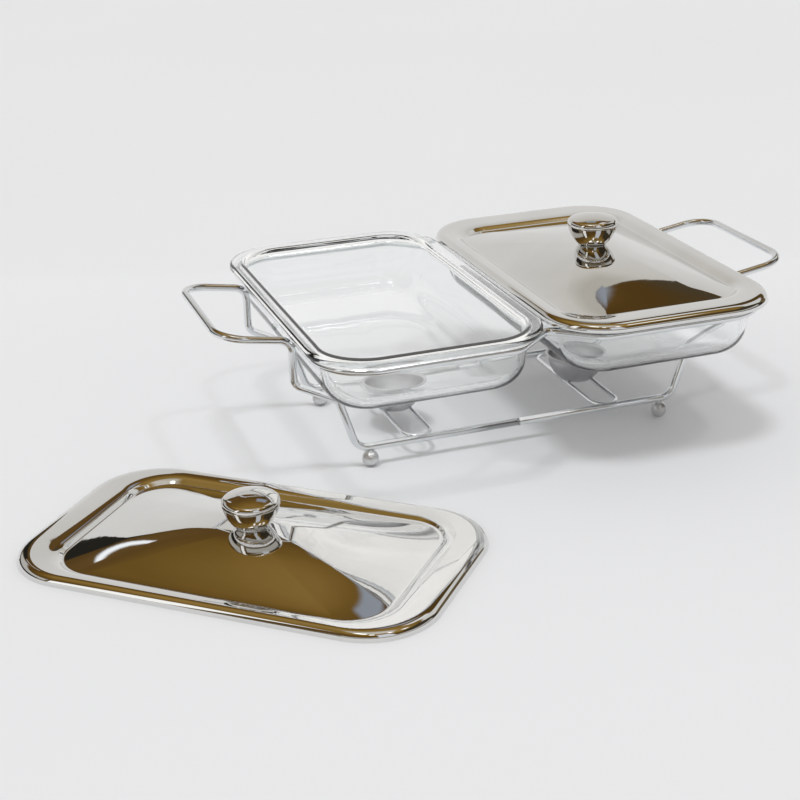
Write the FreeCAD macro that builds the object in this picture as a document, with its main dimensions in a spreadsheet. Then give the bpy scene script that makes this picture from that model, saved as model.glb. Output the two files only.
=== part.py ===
import FreeCAD, Part
import math
import os
import re

import Sketcher

# Twin food warmer: a bent-wire stand carries two glass dishes side by side over two candle cups.
# One sheet-metal lid lies on the right dish and the other lies on the table in front of the stand.
# Frame: +X along the row of dishes, +Y to the rear, +Z up, origin under the middle of the whole set.

# Driving sizes in millimetres and degrees. Heights of the stand are above the table.
SIZES = {
    # stand: wires and feet
    "wire_dia": 5.0,
    "fine_wire_dia": 3.0,
    "weld_gap": 0.05,
    "foot_dia": 11.0,
    "foot_from_middle": 106.0,
    "leg_from_middle": 56.0,
    "foot_bend_reach": 8.8,
    "foot_bend_radius": 11.0,
    "leg_splay": 11.6,
    "step_low_drop": 11.7,
    "step_high_rise": 3.4,
    "step_bend_radius": 8.0,
    # stand: rim loop, arms and handles
    "rim_height": 93.0,
    "rim_clearance": 0.5,
    "neck_angle": 42.0,
    "neck_bend_radius": 12.0,
    "neck_tip_radius": 8.5,
    "arm_bend_radius": 9.0,
    "arm_lid_gap": 0.5,
    "handle_reach": 49.4,
    "handle_rise": 9.0,
    "handle_bend_radius": 19.0,
    # candle cups and the wire cradles under them
    "candle_from_middle": 69.0,
    "cradle_wire_spacing": 18.5,
    "cup_base_dia": 24.0,
    "cup_rim_dia": 44.0,
    "cup_height": 18.7,
    "cup_wall": 0.8,
    "cup_lip": 1.5,
    "cup_side_radius": 26.0,
    # glass dishes
    "dish_width": 155.0,
    "dish_length": 257.2,
    "dish_corner_radius": 40.0,
    "dish_overhang": 8.25,
    "dish_flange": 5.0,
    "dish_drop": 34.8,
    "dish_draft": 8.0,
    "dish_wall": 3.0,
    "dish_floor": 4.0,
    "dish_bottom_radius": 17.5,
    "dish_edge_radius": 2.0,
    "dish_mouth_radius": 3.0,
    "dish_gap": 3.8,
    "dish_seat_gap": 0.3,
    # lids
    "lid_sheet": 0.8,
    "lid_overhang_side": 1.3,
    "lid_overhang_end": 2.4,
    "lid_lip": 4.5,
    "lid_edge_radius": 3.0,
    "lid_seat_gap": 0.2,
    "well_side_gap": 0.8,
    "well_end_gap": 10.8,
    "well_depth": 3.3,
    "well_slant": 1.6,
    "well_corner_radius": 28.0,
    "ledge_width": 3.8,
    "dome_rise": 13.8,
    "dome_fullness": 1.35,
    "plateau_side_margin": 1.2,
    "plateau_end_margin": 3.2,
    "plateau_corner_radius": 9.0,
    # lid knobs and their fixings
    "knob_base_dia": 19.0,
    "knob_brim_dia": 34.6,
    "knob_brim_height": 14.6,
    "knob_side": 3.6,
    "knob_height": 21.3,
    "knob_bowl_radius": 27.0,
    "knob_brim_edge": 1.2,
    "knob_cap_edge": 3.0,
    "screw_dia": 4.0,
    "screw_reach": 11.5,
    "bore_relief": 0.6,
    "screw_head_dia": 8.0,
    "screw_head": 2.4,
    "screw_head_edge": 0.9,
    "screw_clearance": 0.05,
    "lid_hole_clearance": 0.3,
    "washer_dia": 12.0,
    "washer": 0.8,
    # place of the loose lid on the table, seen from the middle of the stand
    "loose_lid_left": 208.0,
    "loose_lid_front": 140.4,
    "loose_lid_turn": 48.8,
}

# Sizes that follow from the driving sizes, as formulas of the second sheet.
DERIVED = {
    # stand
    "wire_radius": "wire_dia / 2",
    "rail_height": "foot_dia + weld_gap + wire_dia / 2",
    "step_low_height": "dish_bottom_height - step_low_drop",
    "step_high_height": "dish_bottom_height + step_high_rise",
    "cradle_tip": "leg_from_middle - (wire_dia + fine_wire_dia) / 2 - weld_gap",
    "cup_base_height": "rail_height + fine_wire_dia / 2 + weld_gap",
    "cup_mouth_radius": "cup_rim_dia / 2 - cup_lip",
    "rim_half_width": "dish_from_middle + body_half_width + rim_clearance + wire_radius",
    "rim_half_length": "body_half_length + rim_clearance + wire_radius",
    "rim_corner_radius": "body_corner_radius + rim_clearance + wire_radius",
    "handle_from_middle": "rim_half_width + handle_reach",
    "handle_height": "rim_height + handle_rise",
    # dish, whose own zero height is the underside of its flange
    "dish_half_width": "dish_width / 2",
    "dish_half_length": "dish_length / 2",
    "body_half_width": "dish_half_width - dish_overhang",
    "body_half_length": "dish_half_length - dish_overhang",
    "body_corner_radius": "dish_corner_radius - dish_overhang",
    "slant_wall": "dish_wall / cos(dish_draft)",
    "mouth_spread": "dish_flange * tan(dish_draft)",
    "mouth_half_width": "body_half_width - slant_wall + mouth_spread",
    "mouth_half_length": "body_half_length - slant_wall + mouth_spread",
    "mouth_corner_radius": "body_corner_radius - slant_wall + mouth_spread",
    "cavity_depth": "dish_flange + dish_drop - dish_floor",
    "cavity_bottom_radius": "dish_bottom_radius - dish_wall",
    "dish_from_middle": "dish_half_width + dish_gap / 2",
    "dish_height": "rim_height + wire_radius + dish_seat_gap",
    "dish_bottom_height": "dish_height - dish_drop",
    # lid, whose own zero height is the bottom of its lip
    "lid_half_width": "dish_half_width + lid_overhang_side",
    "lid_half_length": "dish_half_length + lid_overhang_end",
    "lid_corner_radius": "dish_corner_radius + lid_overhang_side",
    "lid_height": "dish_height + dish_flange + lid_seat_gap + lid_sheet - lid_lip",
    "ledge_height": "lid_lip - well_depth",
    "ledge_drop": "dish_height + dish_flange - lid_height - ledge_height + lid_sheet",
    "well_slope_length": "sqrt(pow(well_depth; 2) + pow(well_slant; 2))",
    "underside_shift": "lid_sheet * (well_slope_length - well_slant) / well_depth",
    "glass_half_width": "mouth_half_width - ledge_drop * tan(dish_draft)",
    "glass_half_length": "mouth_half_length - ledge_drop * tan(dish_draft)",
    "ledge_half_width": "glass_half_width - well_side_gap - underside_shift",
    "ledge_half_length": "glass_half_length - well_end_gap - underside_shift",
    "well_half_width": "ledge_half_width + well_slant",
    "well_half_length": "ledge_half_length + well_slant",
    "well_top_radius": "well_corner_radius + well_slant",
    "crease_half_width": "ledge_half_width - ledge_width",
    "crease_half_length": "ledge_half_length - ledge_width",
    "crease_corner_radius": "well_corner_radius - ledge_width",
    "plateau_half_width": "knob_base_dia / 2 + plateau_side_margin",
    "plateau_half_length": "knob_base_dia / 2 + plateau_end_margin",
    "plateau_height": "ledge_height + dome_rise",
    # knob, screw and washer, stacked on the axis of the lid
    "bore_radius": "screw_dia / 2 + screw_clearance",
    "lid_hole_radius": "screw_dia / 2 + lid_hole_clearance",
    "washer_height": "plateau_height - lid_sheet - washer",
    "screw_height": "washer_height - screw_head",
    "screw_shank": "washer + lid_sheet + screw_reach",
    # the box around the whole set, which centres the stand behind and to the right of the origin
    "lid_flat_width": "lid_half_width - lid_corner_radius",
    "lid_flat_length": "lid_half_length - lid_corner_radius",
    "turned_width": "lid_flat_width * cos(loose_lid_turn) + lid_flat_length * sin(loose_lid_turn)",
    "turned_length": "lid_flat_width * sin(loose_lid_turn) + lid_flat_length * cos(loose_lid_turn)",
    "set_left": "loose_lid_left + turned_width + lid_corner_radius",
    "set_right": "handle_from_middle + wire_radius",
    "set_front": "loose_lid_front + turned_length + lid_corner_radius",
    "set_back": "lid_half_length",
    "stand_right": "(set_left - set_right) / 2",
    "stand_back": "(set_front - set_back) / 2",
}

MODEL = FreeCAD.newDocument("food_warmer")


def formula(text):
    """Put the name of its sheet before each size in a formula."""
    def with_sheet(match):
        word = match.group()
        if word in SIZES:
            return "Sizes." + word
        return "Derived." + word if word in DERIVED else word
    return re.sub("[a-z_]+", with_sheet, text)


def fill_sheet(name, cells):
    """Put each number or formula in a cell of a new sheet, under its own alias."""
    sheet = MODEL.addObject("Spreadsheet::Sheet", name)
    for row, (alias, content) in enumerate(cells.items(), start=1):
        text = str(content) if isinstance(content, float) else "=" + formula(content)
        sheet.set("A%d" % row, alias)
        sheet.setAlias("B%d" % row, alias)
        sheet.set("B%d" % row, text)
    MODEL.recompute()
    return sheet


sizes = fill_sheet("Sizes", SIZES)
derived = fill_sheet("Derived", DERIVED)


def value(text):
    """The number that a formula has now, for geometry that is worked out in code."""
    return float(sizes.evalExpression(formula(text)))


# ---------------------------------------------------------------- sketches and features


def new_body(label):
    body = MODEL.addObject("PartDesign::Body", label)
    body.Label = label
    return body


def new_sketch(body, name, plane_role, height=None):
    """A sketch on one of the body's own origin planes, raised by a formula if one is given."""
    sketch = body.newObject("Sketcher::SketchObject", name)
    plane = [item for item in body.Origin.OriginFeatures if item.Role == plane_role][0]
    sketch.AttachmentSupport = [(plane, "")]
    sketch.MapMode = "FlatFace"
    if height:
        sketch.setExpression("AttachmentOffset.Base.z", formula(height))
    return sketch


def bind(sketch, size_formula, kind, *items):
    """Add a dimension to a sketch and tie it to a formula."""
    index = sketch.addConstraint(Sketcher.Constraint(kind, *items, value(size_formula)))
    sketch.setExpression("Constraints[%d]" % index, formula(size_formula))


def origin():
    """The sketch's own origin, as the numbers of a geometry and of a point on it."""
    return -1, 1


def hold_on_axis(sketch, item, point, upright):
    """Hold a point on the sketch's own upright axis, number -2, or on its level one, number -1."""
    axis = -2 if upright else -1
    sketch.addConstraint(Sketcher.Constraint("PointOnObject", item, point, axis))


def draw_rounded_rectangle(sketch, half_width, half_length, corner_radius):
    """Draw a centred rounded rectangle. The three sizes are formulas."""
    wide = value(half_width)
    deep = value(half_length)
    radius = value(corner_radius)
    side_x = wide - radius
    side_y = deep - radius
    sides = [
        ((-side_x, -deep), (side_x, -deep)),
        ((wide, -side_y), (wide, side_y)),
        ((side_x, deep), (-side_x, deep)),
        ((-wide, side_y), (-wide, -side_y)),
    ]
    centres = [(side_x, -side_y), (side_x, side_y), (-side_x, side_y), (-side_x, -side_y)]
    for start, end in sides:
        sketch.addGeometry(Part.LineSegment(FreeCAD.Vector(*start), FreeCAD.Vector(*end)))
    for quarter, centre in enumerate(centres):
        circle = Part.Circle(FreeCAD.Vector(*centre), FreeCAD.Vector(0, 0, 1), radius)
        turn = math.radians(90 * quarter)
        sketch.addGeometry(Part.ArcOfCircle(circle, turn - math.pi / 2, turn))
    for side in range(4):
        sketch.addConstraint(Sketcher.Constraint("Tangent", side, 2, side + 4, 1))
        sketch.addConstraint(Sketcher.Constraint("Tangent", side + 4, 2, (side + 1) % 4, 1))
        direction = "Vertical" if side % 2 else "Horizontal"
        sketch.addConstraint(Sketcher.Constraint(direction, side))
    for corner in (5, 6, 7):
        sketch.addConstraint(Sketcher.Constraint("Equal", 4, corner))
    bind(sketch, corner_radius, "Radius", 4)
    bind(sketch, half_width, "DistanceX", *origin(), 1, 1)
    bind(sketch, half_width, "DistanceX", 3, 1, *origin())
    bind(sketch, half_length, "DistanceY", *origin(), 2, 1)
    bind(sketch, half_length, "DistanceY", 0, 1, *origin())


def draw_outline(sketch, corners, arcs):
    """Draw a closed outline through corners, each a pair of formulas.

    A side that is in arcs is round, with the hand on which it swells and a formula for its radius,
    or None where the arc's centre lies on the vertical axis.
    """
    points = [FreeCAD.Vector(value(across), value(up)) for across, up in corners]
    ends = []
    for side, start in enumerate(points):
        end = points[(side + 1) % len(points)]
        if side not in arcs:
            sketch.addGeometry(Part.LineSegment(start, end))
            ends.append((1, 2))
            continue
        hand, radius = arcs[side]
        ends.append((1, 2) if hand == "right" else (2, 1))
        first, last = (start, end) if hand == "right" else (end, start)
        chord = last - first
        left = FreeCAD.Vector(-chord.y, chord.x).normalize()
        if radius:
            depth = math.sqrt(value(radius) ** 2 - chord.Length ** 2 / 4)
        else:
            depth = -(first.x + last.x) / 2 / left.x
        centre = (first + last) * 0.5 + left * depth
        circle = Part.Circle(centre, FreeCAD.Vector(0, 0, 1), (first - centre).Length)
        turns = [math.atan2(point.y - centre.y, point.x - centre.x) for point in (first, last)]
        sketch.addGeometry(Part.ArcOfCircle(circle, *turns))
    for side, (across, up) in enumerate(corners):
        before = side - 1 if side else len(corners) - 1
        corner = (side, ends[side][0])
        sketch.addConstraint(Sketcher.Constraint("Coincident", before, ends[before][1], *corner))
        if across == "0":
            hold_on_axis(sketch, *corner, True)
        else:
            bind(sketch, across, "DistanceX", *origin(), *corner)
        if up == "0":
            hold_on_axis(sketch, *corner, False)
        else:
            bind(sketch, up, "DistanceY", *origin(), *corner)
    for side, (hand, radius) in arcs.items():
        if radius:
            bind(sketch, radius, "Radius", side)
        else:
            hold_on_axis(sketch, side, 3, True)


def pad(body, sketch, length, draft=None, downward=False):
    """Pad a sketch up or down. With a draft, the far end is the smaller one."""
    feature = body.newObject("PartDesign::Pad", sketch.Name + "_pad")
    feature.Profile = sketch
    feature.Reversed = downward
    feature.setExpression("Length", formula(length))
    if draft:
        feature.setExpression("TaperAngle", formula("-" + draft))
    return feature


def revolve(body, sketch):
    feature = body.newObject("PartDesign::Revolution", sketch.Name + "_revolution")
    feature.Profile = sketch
    feature.ReferenceAxis = (sketch, ["V_Axis"])
    feature.Angle = 360
    return feature


def fillet(body, radius, wanted):
    """Round the edges of the body's last feature that the wanted test picks."""
    MODEL.recompute()
    base = body.Tip
    names = ["Edge%d" % number for number, edge in enumerate(base.Shape.Edges, start=1) if wanted(edge)]
    feature = body.newObject("PartDesign::Fillet", base.Name + "_fillet")
    feature.Base = (base, names)
    feature.setExpression("Radius", formula(radius))
    return feature


def edges_at(height, outside=None, inside=None):
    """A test for level edges at a height, outside or inside a half width and half length."""
    def wanted(edge):
        box = edge.BoundBox
        level = abs(box.ZMin - height) < 1e-4 and abs(box.ZMax - height) < 1e-4
        limit = outside or inside
        if not level or not limit:
            return level
        wide, deep = limit
        beyond = max(abs(box.XMin), abs(box.XMax)) > wide or max(abs(box.YMin), abs(box.YMax)) > deep
        return beyond if outside else not beyond
    return wanted


def place(feature, right="0", back="0", up="0", turn=None):
    """Stand a sub-part at its place in the set. The places are formulas from the stand's middle."""
    if turn:
        feature.Placement = FreeCAD.Placement(
            FreeCAD.Vector(), FreeCAD.Rotation(FreeCAD.Vector(0, 0, 1), value(turn)))
        feature.setExpression("Placement.Rotation.Angle", formula(turn))
    feature.setExpression("Placement.Base.x", formula("stand_right + " + right))
    feature.setExpression("Placement.Base.y", formula("stand_back + " + back))
    feature.setExpression("Placement.Base.z", formula(up))
    finished.append(feature)


finished = []


# ---------------------------------------------------------------- glass dishes


def make_dish(label, right):
    """A pressed dish. Its own zero height is the underside of the flange."""
    body = new_body(label)
    walls = new_sketch(body, label + "_walls", "XY_Plane")
    draw_rounded_rectangle(walls, "body_half_width", "body_half_length", "body_corner_radius")
    pad(body, walls, "dish_drop", draft="dish_draft", downward=True)
    flange = new_sketch(body, label + "_flange", "XY_Plane")
    draw_rounded_rectangle(flange, "dish_half_width", "dish_half_length", "dish_corner_radius")
    pad(body, flange, "dish_flange")
    mouth = new_sketch(body, label + "_mouth", "XY_Plane", "dish_flange")
    draw_rounded_rectangle(mouth, "mouth_half_width", "mouth_half_length", "mouth_corner_radius")
    cavity = body.newObject("PartDesign::Pocket", label + "_cavity")
    cavity.Profile = mouth
    cavity.setExpression("Length", formula("cavity_depth"))
    cavity.setExpression("TaperAngle", formula("-dish_draft"))
    top = value("dish_flange")
    walls_limit = (value("body_half_width") + 0.1, value("body_half_length") + 0.1)
    fillet(body, "dish_bottom_radius", edges_at(-value("dish_drop")))
    fillet(body, "cavity_bottom_radius", edges_at(top - value("cavity_depth")))
    fillet(body, "dish_mouth_radius", edges_at(top, inside=walls_limit))
    fillet(body, "dish_edge_radius", edges_at(top, outside=walls_limit))
    fillet(body, "dish_edge_radius", edges_at(0, outside=walls_limit))
    place(body, right, "0", "dish_height")
    return body


make_dish("left_glass_dish", "-dish_from_middle")
make_dish("right_glass_dish", "dish_from_middle")


# ---------------------------------------------------------------- lids

DOME_STEPS = 3


def make_pressing(label, sunk, widened):
    """The solid under one side of the lid's sheet: a filled lip and flange, a well and a dome.

    Its own zero height is the bottom of the lip. For the sheet's underside everything is sunk by the
    sheet, the lip lies further in and the slanted wall of the well further out.
    """
    body = new_body(label)
    plate = new_sketch(body, label + "_plate", "XY_Plane", "-" + sunk)
    draw_rounded_rectangle(
        plate, "lid_half_width - " + sunk, "lid_half_length - " + sunk, "lid_corner_radius - " + sunk)
    pad(body, plate, "lid_lip")
    fillet(body, "lid_edge_radius - " + sunk, edges_at(value("lid_lip - " + sunk)))
    well_mouth = new_sketch(body, label + "_well_mouth", "XY_Plane", "lid_lip - " + sunk)
    draw_rounded_rectangle(
        well_mouth, "well_half_width + " + widened, "well_half_length + " + widened,
        "well_top_radius + " + widened)
    ledge = new_sketch(body, label + "_ledge", "XY_Plane", "ledge_height - " + sunk)
    draw_rounded_rectangle(
        ledge, "ledge_half_width + " + widened, "ledge_half_length + " + widened,
        "well_corner_radius + " + widened)
    well = body.newObject("PartDesign::SubtractiveLoft", label + "_well")
    well.Profile = well_mouth
    well.Sections = [ledge]
    well.Ruled = True
    sections = []
    for step in range(DOME_STEPS + 1):
        share = "%d / %d" % (DOME_STEPS - step, DOME_STEPS)
        rise = "ledge_height - %s + dome_rise * (1 - pow(%s; dome_fullness))" % (sunk, share)
        section = new_sketch(body, "%s_dome_%d" % (label, step), "XY_Plane", rise)
        draw_rounded_rectangle(
            section,
            "plateau_half_width + (crease_half_width - plateau_half_width) * " + share,
            "plateau_half_length + (crease_half_length - plateau_half_length) * " + share,
            "plateau_corner_radius + (crease_corner_radius - plateau_corner_radius) * " + share)
        sections.append(section)
    dome = body.newObject("PartDesign::AdditiveLoft", label + "_dome")
    dome.Profile = sections[0]
    dome.Sections = sections[1:]
    return body


def make_lid_shell(label, **spot):
    """The lid's sheet is what lies between its two sides, with a hole for the knob's screw."""
    upper = make_pressing(label + "_upper_side", "0", "0")
    hole = new_sketch(upper, label + "_screw_hole", "XY_Plane")
    hole.addGeometry(Part.Circle(FreeCAD.Vector(), FreeCAD.Vector(0, 0, 1), value("lid_hole_radius")))
    hole.addConstraint(Sketcher.Constraint("Coincident", 0, 3, *origin()))
    bind(hole, "lid_hole_radius", "Radius", 0)
    drilled = upper.newObject("PartDesign::Pocket", label + "_hole")
    drilled.Profile = hole
    drilled.Type = "ThroughAll"
    drilled.Reversed = True
    shell = MODEL.addObject("Part::Cut", label)
    shell.Base = upper
    shell.Tool = make_pressing(label + "_underside", "lid_sheet", "underside_shift")
    shell.Label = label
    place(shell, **spot)


def make_turned(label, corners, arcs, **spot):
    """A part turned about its own vertical axis from half an outline."""
    body = new_body(label)
    outline = new_sketch(body, label + "_outline", "XZ_Plane")
    draw_outline(outline, corners, arcs)
    revolve(body, outline)
    place(body, **spot)
    return body


KNOB_OUTLINE = [
    ("bore_radius", "0"),
    ("knob_base_dia / 2", "0"),
    ("knob_brim_dia / 2", "knob_brim_height"),
    ("knob_brim_dia / 2", "knob_brim_height + knob_side"),
    ("0", "knob_height"),
    ("0", "screw_reach + bore_relief"),
    ("bore_radius", "screw_reach + bore_relief"),
]
KNOB_ARCS = {1: ("right", "knob_bowl_radius"), 3: ("right", None)}
SCREW_OUTLINE = [
    ("0", "0"),
    ("screw_head_dia / 2", "0"),
    ("screw_head_dia / 2", "screw_head"),
    ("screw_dia / 2", "screw_head"),
    ("screw_dia / 2", "screw_head + screw_shank"),
    ("0", "screw_head + screw_shank"),
]
WASHER_OUTLINE = [
    ("lid_hole_radius", "0"),
    ("washer_dia / 2", "0"),
    ("washer_dia / 2", "washer"),
    ("lid_hole_radius", "washer"),
]


def make_lid(name, up, **spot):
    """A lid shell with its knob on top, held by a screw and washer from below."""
    make_lid_shell(name + "_shell", up=up, **spot)
    knob = make_turned(name + "_knob", KNOB_OUTLINE, KNOB_ARCS, up=up + " + plateau_height", **spot)
    fillet(knob, "knob_brim_edge", edges_at(value("knob_brim_height")))
    fillet(knob, "knob_cap_edge", edges_at(value("knob_brim_height + knob_side")))
    screw = make_turned(name + "_screw", SCREW_OUTLINE, {}, up=up + " + screw_height", **spot)
    fillet(screw, "screw_head_edge", edges_at(0))
    make_turned(name + "_washer", WASHER_OUTLINE, {}, up=up + " + washer_height", **spot)


make_lid("right_lid", "lid_height", right="dish_from_middle")
make_lid("loose_lid", "0", right="-loose_lid_left", back="-loose_lid_front", turn="loose_lid_turn")


# ---------------------------------------------------------------- candle cups, cradles and feet

CUP_OUTLINE = [
    ("0", "0"),
    ("cup_base_dia / 2", "0"),
    ("cup_mouth_radius", "cup_height - cup_wall"),
    ("cup_rim_dia / 2", "cup_height - cup_wall"),
    ("cup_rim_dia / 2", "cup_height"),
    ("cup_mouth_radius - cup_wall", "cup_height"),
    ("cup_base_dia / 2 - cup_wall / 2", "cup_wall"),
    ("0", "cup_wall"),
]
CUP_ARCS = {1: ("right", "cup_side_radius"), 5: ("left", "cup_side_radius - cup_wall")}


def make_cradle(label, right):
    """A slot-shaped loop of fine wire between the base rails, under a candle cup."""
    body = new_body(label)
    path = new_sketch(body, label + "_path", "XY_Plane")
    reach = value("cradle_tip - cradle_wire_spacing / 2")
    radius = value("cradle_wire_spacing / 2")
    path.addGeometry(Part.LineSegment(FreeCAD.Vector(radius, -reach), FreeCAD.Vector(radius, reach)))
    path.addGeometry(Part.LineSegment(FreeCAD.Vector(-radius, reach), FreeCAD.Vector(-radius, -reach)))
    for end, turn in ((reach, 0), (-reach, math.pi)):
        circle = Part.Circle(FreeCAD.Vector(0, end), FreeCAD.Vector(0, 0, 1), radius)
        path.addGeometry(Part.ArcOfCircle(circle, turn, turn + math.pi))
    for first, second in ((0, 2), (2, 1), (1, 3), (3, 0)):
        path.addConstraint(Sketcher.Constraint("Tangent", first, 2, second, 1))
    for arc in (2, 3):
        hold_on_axis(path, arc, 3, True)
    path.addConstraint(Sketcher.Constraint("Equal", 2, 3))
    bind(path, "cradle_wire_spacing / 2", "Radius", 2)
    bind(path, "cradle_tip - cradle_wire_spacing / 2", "DistanceY", *origin(), 2, 3)
    bind(path, "cradle_tip - cradle_wire_spacing / 2", "DistanceY", 3, 3, *origin())
    wire = new_sketch(body, label + "_section", "XZ_Plane", "cradle_tip - cradle_wire_spacing / 2")
    middle = FreeCAD.Vector(radius, 0)
    wire.addGeometry(Part.Circle(middle, FreeCAD.Vector(0, 0, 1), value("fine_wire_dia / 2")))
    hold_on_axis(wire, 0, 3, False)
    bind(wire, "cradle_wire_spacing / 2", "DistanceX", *origin(), 0, 3)
    bind(wire, "fine_wire_dia / 2", "Radius", 0)
    pipe = body.newObject("PartDesign::AdditivePipe", label + "_pipe")
    pipe.Profile = wire
    pipe.Spine = (path, [])
    place(body, right, "0", "rail_height")


for side, away in (("left", "-"), ("right", "")):
    make_cradle(side + "_cradle_wire", away + "candle_from_middle")
    make_turned(
        side + "_candle_cup", CUP_OUTLINE, CUP_ARCS,
        right=away + "candle_from_middle", up="cup_base_height")


def make_foot(label, right, back):
    ball = MODEL.addObject("Part::Sphere", label)
    ball.Label = label
    ball.setExpression("Radius", formula("foot_dia / 2"))
    place(ball, right, back, "foot_dia / 2")


for side, away in (("left", "-"), ("right", "")):
    for end, deep in (("front", "-"), ("rear", "")):
        make_foot("ball_foot_%s_%s" % (end, side), away + "foot_from_middle", deep + "leg_from_middle")


# ---------------------------------------------------------------- bent wires


def unit(vector):
    return FreeCAD.Vector(vector).normalize()


def bent_path(corners, closed):
    """Straight runs joined by tangent arcs. Each corner is a point and the radius of its bend."""
    points = [FreeCAD.Vector(*point) for point, radius in corners]
    count = len(points)
    edges = []
    here = (points[0] + points[-1]) * 0.5 if closed else points[0]
    begin = here
    for index in range(count) if closed else range(1, count - 1):
        corner = points[index]
        back = unit(points[index - 1] - corner)
        ahead = unit(points[(index + 1) % count] - corner)
        half_turn = (math.pi - back.getAngle(ahead)) / 2
        radius = corners[index][1]
        reach = radius * math.tan(half_turn)
        first = corner + back * reach
        last = corner + ahead * reach
        middle = corner + unit(back + ahead) * (radius / math.cos(half_turn) - radius)
        edges.append(Part.LineSegment(here, first).toShape())
        edges.append(Part.Arc(first, middle, last).toShape())
        here = last
    edges.append(Part.LineSegment(here, begin if closed else points[-1]).toShape())
    return Part.Wire(edges)


def make_bent_wire(label, corners, closed=False):
    """A wire of the stand, swept along its bent path."""
    path = bent_path(corners, closed)
    start = path.Edges[0]
    way = start.tangentAt(start.FirstParameter)
    ring = Part.makeCircle(value("wire_radius"), start.valueAt(start.FirstParameter), way)
    feature = MODEL.addObject("Part::Feature", label)
    feature.Label = label
    feature.Shape = path.makePipeShell([Part.Wire(ring)], True, False)
    place(feature)


def rim_corners():
    """The rim loop hugs both dish bodies and dips between them in a V neck at the front and rear."""
    height = value("rim_height")
    wide = value("rim_half_width")
    deep = value("rim_half_length")
    radius = value("rim_corner_radius")
    slope = math.radians(value("neck_angle"))
    # the neck's slopes touch the wire's circle about the inner corners of the dish bodies
    touch_x = value("dish_from_middle - body_half_width + body_corner_radius") - radius * math.sin(slope)
    touch_y = value("body_half_length - body_corner_radius") + radius * math.cos(slope)
    neck_tip = touch_y - touch_x * math.tan(slope)
    neck_base = touch_x + (deep - touch_y) / math.tan(slope)
    bend = value("neck_bend_radius")
    quarter = [
        ((wide, deep, height), radius),
        ((neck_base, deep, height), bend),
        ((0, neck_tip, height), value("neck_tip_radius")),
        ((-neck_base, deep, height), bend),
        ((-wide, deep, height), radius),
    ]
    front = [((-x, -y, z), bend_radius) for (x, y, z), bend_radius in quarter]
    return quarter + front


def circles_meeting(centre, radius, other_centre, other_radius):
    """The lower right of the two points that lie at given distances from two centres."""
    between = other_centre - centre
    along = (radius ** 2 - other_radius ** 2 + between.Length ** 2) / (2 * between.Length)
    across = math.sqrt(radius ** 2 - along ** 2)
    way = unit(between)
    return centre + way * along + FreeCAD.Vector(way.y, -way.x) * across


def end_wire_corners(away):
    """One wire from the middle of the front rail, up the leg, round the handle and back to the rear rail.

    The bend from leg to arm touches the rim wire and passes under the edge of the lid with a gap, and
    the arm leaves it on a tangent to the handle.
    """
    rim = FreeCAD.Vector(value("rim_half_width"), value("rim_height"))
    lid_edge = FreeCAD.Vector(value("dish_from_middle + lid_half_width"), value("lid_height"))
    bend = value("arm_bend_radius")
    centre = circles_meeting(
        rim, bend + value("wire_dia + weld_gap"), lid_edge, bend + value("wire_radius + arm_lid_gap"))
    grip = FreeCAD.Vector(value("handle_from_middle"), value("handle_height"))
    to_grip = grip - centre
    slope = math.atan2(to_grip.y, to_grip.x) + math.acos(bend / to_grip.Length) - math.pi / 2
    leg = centre.x - bend
    arm_height = grip.y - (grip.x - leg) * math.tan(slope)
    rail = value("rail_height")
    foot_bend = value("foot_from_middle + foot_bend_reach")
    step = value("step_bend_radius")
    profile = [
        (value("weld_gap / 2"), rail, 0),
        (foot_bend, rail, value("foot_bend_radius")),
        (foot_bend + value("leg_splay"), value("step_low_height"), step),
        (leg, value("step_high_height"), step),
        (leg, arm_height, bend),
        (grip.x, grip.y, value("handle_bend_radius")),
    ]
    deep = value("leg_from_middle")
    front = [((away * x, -deep, z), radius) for x, z, radius in profile]
    rear = [((away * x, deep, z), radius) for x, z, radius in reversed(profile)]
    return front + rear


make_bent_wire("rim_loop_wire", rim_corners(), closed=True)
make_bent_wire("left_end_wire", end_wire_corners(-1))
make_bent_wire("right_end_wire", end_wire_corners(1))


# ---------------------------------------------------------------- check and write

MODEL.recompute()
for item in MODEL.Objects:
    if "Invalid" in item.State or "Error" in item.State:
        raise ValueError("%s did not build: %s" % (item.Label, item.State))
for item in finished:
    if item.Shape.isNull() or not item.Shape.isValid():
        raise ValueError("%s has no valid shape" % item.Label)

os.makedirs("parts", exist_ok=True)
for item in finished:
    item.Shape.exportStep("parts/%s.step" % item.Label)
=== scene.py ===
import math

import bmesh
import bpy
from mathutils import Matrix, Vector


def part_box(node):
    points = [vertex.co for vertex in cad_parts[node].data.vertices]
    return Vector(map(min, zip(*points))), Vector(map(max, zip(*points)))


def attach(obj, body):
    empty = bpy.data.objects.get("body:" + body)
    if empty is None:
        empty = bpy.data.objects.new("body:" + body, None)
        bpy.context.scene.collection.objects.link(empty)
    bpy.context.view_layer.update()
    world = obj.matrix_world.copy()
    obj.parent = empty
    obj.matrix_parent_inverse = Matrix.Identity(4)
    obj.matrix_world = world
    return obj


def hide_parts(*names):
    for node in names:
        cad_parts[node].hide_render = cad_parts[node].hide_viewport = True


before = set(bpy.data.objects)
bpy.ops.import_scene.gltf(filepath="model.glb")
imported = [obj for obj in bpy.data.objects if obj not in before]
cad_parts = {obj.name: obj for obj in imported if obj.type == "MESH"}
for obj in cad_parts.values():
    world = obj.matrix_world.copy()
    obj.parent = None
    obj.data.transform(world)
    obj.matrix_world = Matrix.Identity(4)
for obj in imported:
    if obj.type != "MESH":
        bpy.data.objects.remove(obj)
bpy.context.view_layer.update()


# ---------------------------------------------------------------- sizes in millimetres

# Places across (x) and along (y) count from the middle of the stand, heights from the table.
MM = 0.001
UP = Vector((0, 0, 1))
ALONG = Vector((0, 1, 0))
ACROSS = Vector((1, 0, 0))

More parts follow.
